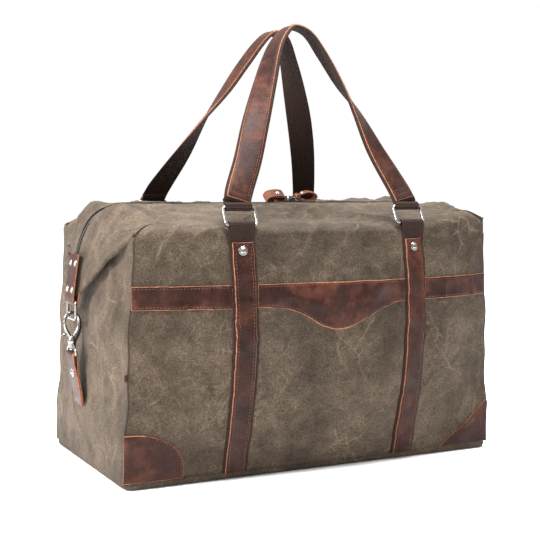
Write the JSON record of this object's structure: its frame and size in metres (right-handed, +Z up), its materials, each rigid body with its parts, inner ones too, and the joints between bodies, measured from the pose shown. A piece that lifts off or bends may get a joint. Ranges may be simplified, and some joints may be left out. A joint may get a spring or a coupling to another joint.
{
  "type": "weekender bag",
  "caption": "Soft rectangular travel bag with leather trim, twin ring-mounted webbing handles, a two-way top zip and clipped-down end wings.",
  "frame": {"origin": "on the ground under the middle of the bag", "axes": "+X along the length, -Y the pocket side, +Z up"},
  "size_m": [0.577, 0.3288, 0.5522],
  "materials": {
    "canvas": "waxed cotton canvas, mottled",
    "lining": "plain cotton lining",
    "leather": "oiled pull-up leather",
    "webbing": "ribbed cotton webbing",
    "nickel": "polished nickel plate",
    "zip": "dark tape with metal teeth",
    "zip_metal": "gunmetal",
    "board": "stiffener sheet"
  },
  "bodies": {
    "bag": {"back_bands": "leather", "back_corners": "leather", "back_left_strap_leather": "leather", "back_left_webbing": "webbing", "back_panel": "canvas", "back_right_strap_leather": "leather", "back_right_webbing": "webbing", "band_centre": "leather", "band_left": "leather", "band_right": "leather", "base_board": "board", "bottom_panel": "canvas", "end_rivets": "nickel", "front_left_corner": "leather", "front_left_strap_leather": "leather", "front_left_webbing": "webbing", "front_panel": "canvas", "front_pocket_panel": "canvas", "front_right_corner": "leather", "front_right_strap_leather": "leather", "front_right_webbing": "webbing", "left_end_panel": "canvas", "left_end_tab": "leather", "left_hook_strap": "leather", "left_swivel_eye": "nickel", "left_wing": "canvas", "lining": "lining", "right_end_panel": "canvas", "right_end_tab": "leather", "right_hook_strap": "leather", "right_swivel_eye": "nickel", "right_wing": "canvas", "seam_tag": "leather", "strap_rivets": "nickel", "zip_ends": "zip"},
    "front_flap": {"front_top_flap": "canvas", "front_zip_half": "zip"},
    "back_flap": {"back_top_flap": "canvas", "back_zip_half": "zip"},
    "left_slider": {"left_slider": "zip_metal"},
    "right_slider": {"right_slider": "zip_metal"},
    "left_pull": {"left_pull_link": "zip_metal", "left_pull_leather": "leather"},
    "right_pull": {"right_pull_link": "zip_metal", "right_pull_leather": "leather"},
    "front_left_ring": {"front_left_ring": "nickel"},
    "front_right_ring": {"front_right_ring": "nickel"},
    "back_left_ring": {"back_left_ring": "nickel"},
    "back_right_ring": {"back_right_ring": "nickel"},
    "front_handle": {"front_handle_webbing": "webbing", "front_handle_leather": "leather"},
    "back_handle": {"back_handle_webbing": "webbing", "back_handle_leather": "leather"},
    "left_end_ring": {"left_end_ring": "nickel"},
    "right_end_ring": {"right_end_ring": "nickel"},
    "left_hook": {"left_hook": "nickel"},
    "right_hook": {"right_hook": "nickel"},
    "left_hook_gate": {"left_hook_gate": "nickel"},
    "right_hook_gate": {"right_hook_gate": "nickel"}
  },
  "joints": [
    {"name": "front_flap_open", "type": "hinge", "parent": "bag", "child": "front_flap", "pos_m": [0, -0.117, 0.3047], "axis": [1, 0, 0], "range_deg": [0, 50]},
    {"name": "back_flap_open", "type": "hinge", "parent": "bag", "child": "back_flap", "pos_m": [0, 0.117, 0.3047], "axis": [-1, 0, 0], "range_deg": [0, 50]},
    {"name": "left_slider_run", "type": "slide", "parent": "back_flap", "child": "left_slider", "axis": [1, 0, 0], "range_m": [-0.163, 0]},
    {"name": "right_slider_run", "type": "slide", "parent": "back_flap", "child": "right_slider", "axis": [1, 0, 0], "range_m": [0, 0.115]},
    {"name": "left_pull_lift", "type": "hinge", "parent": "left_slider", "child": "left_pull", "pos_m": [0.018, 0.006, 0.33], "axis": [0, 1, 0], "range_deg": [0, 90]},
    {"name": "right_pull_lift", "type": "hinge", "parent": "right_slider", "child": "right_pull", "pos_m": [0.03, 0.006, 0.33], "axis": [0, -1, 0], "range_deg": [0, 90]},
    {"name": "front_left_ring_tilt", "type": "hinge", "parent": "bag", "child": "front_left_ring", "pos_m": [-0.117, -0.1455, 0.3025], "axis": [1, 0, 0], "range_deg": [0, 115]},
    {"name": "front_right_ring_tilt", "type": "hinge", "parent": "bag", "child": "front_right_ring", "pos_m": [0.117, -0.1455, 0.3025], "axis": [1, 0, 0], "range_deg": [0, 115]},
    {"name": "front_handle_fall", "type": "hinge", "parent": "front_left_ring", "child": "front_handle", "pos_m": [-0.117, -0.13533, 0.32246], "axis": [1, 0, 0], "range_deg": [0, 85]},
    {"name": "back_left_ring_tilt", "type": "hinge", "parent": "bag", "child": "back_left_ring", "pos_m": [-0.117, 0.1455, 0.3025], "axis": [-1, 0, 0], "range_deg": [0, 115]},
    {"name": "back_right_ring_tilt", "type": "hinge", "parent": "bag", "child": "back_right_ring", "pos_m": [0.117, 0.1455, 0.3025], "axis": [-1, 0, 0], "range_deg": [0, 115]},
    {"name": "back_handle_fall", "type": "hinge", "parent": "back_left_ring", "child": "back_handle", "pos_m": [-0.117, 0.13533, 0.32246], "axis": [-1, 0, 0], "range_deg": [0, 85]},
    {"name": "left_end_ring_swing", "type": "hinge", "parent": "bag", "child": "left_end_ring", "pos_m": [-0.275, 0, 0.2055], "axis": [0, 1, 0], "range_deg": [-7, 7]},
    {"name": "left_hook_swivel", "type": "hinge", "parent": "bag", "child": "left_hook", "pos_m": [-0.275, 0, 0.15], "axis": [0, 0, 1], "range_deg": [-20, 20]},
    {"name": "left_gate_press", "type": "hinge", "parent": "left_hook", "child": "left_hook_gate", "pos_m": [-0.283, 0, 0.164], "axis": [0, 1, 0], "range_deg": [0, 25], "stiffness_Nm_per_rad": 0.02},
    {"name": "right_end_ring_swing", "type": "hinge", "parent": "bag", "child": "right_end_ring", "pos_m": [0.275, 0, 0.2055], "axis": [0, 1, 0], "range_deg": [-7, 7]},
    {"name": "right_hook_swivel", "type": "hinge", "parent": "bag", "child": "right_hook", "pos_m": [0.275, 0, 0.15], "axis": [0, 0, 1], "range_deg": [-20, 20]},
    {"name": "right_gate_press", "type": "hinge", "parent": "right_hook", "child": "right_hook_gate", "pos_m": [0.283, 0, 0.164], "axis": [0, -1, 0], "range_deg": [0, 25], "stiffness_Nm_per_rad": 0.02}
  ],
  "couplings": [
    {"joint": "front_right_ring_tilt", "follows": "front_left_ring_tilt", "ratio": 1},
    {"joint": "back_right_ring_tilt", "follows": "back_left_ring_tilt", "ratio": 1}
  ]
}
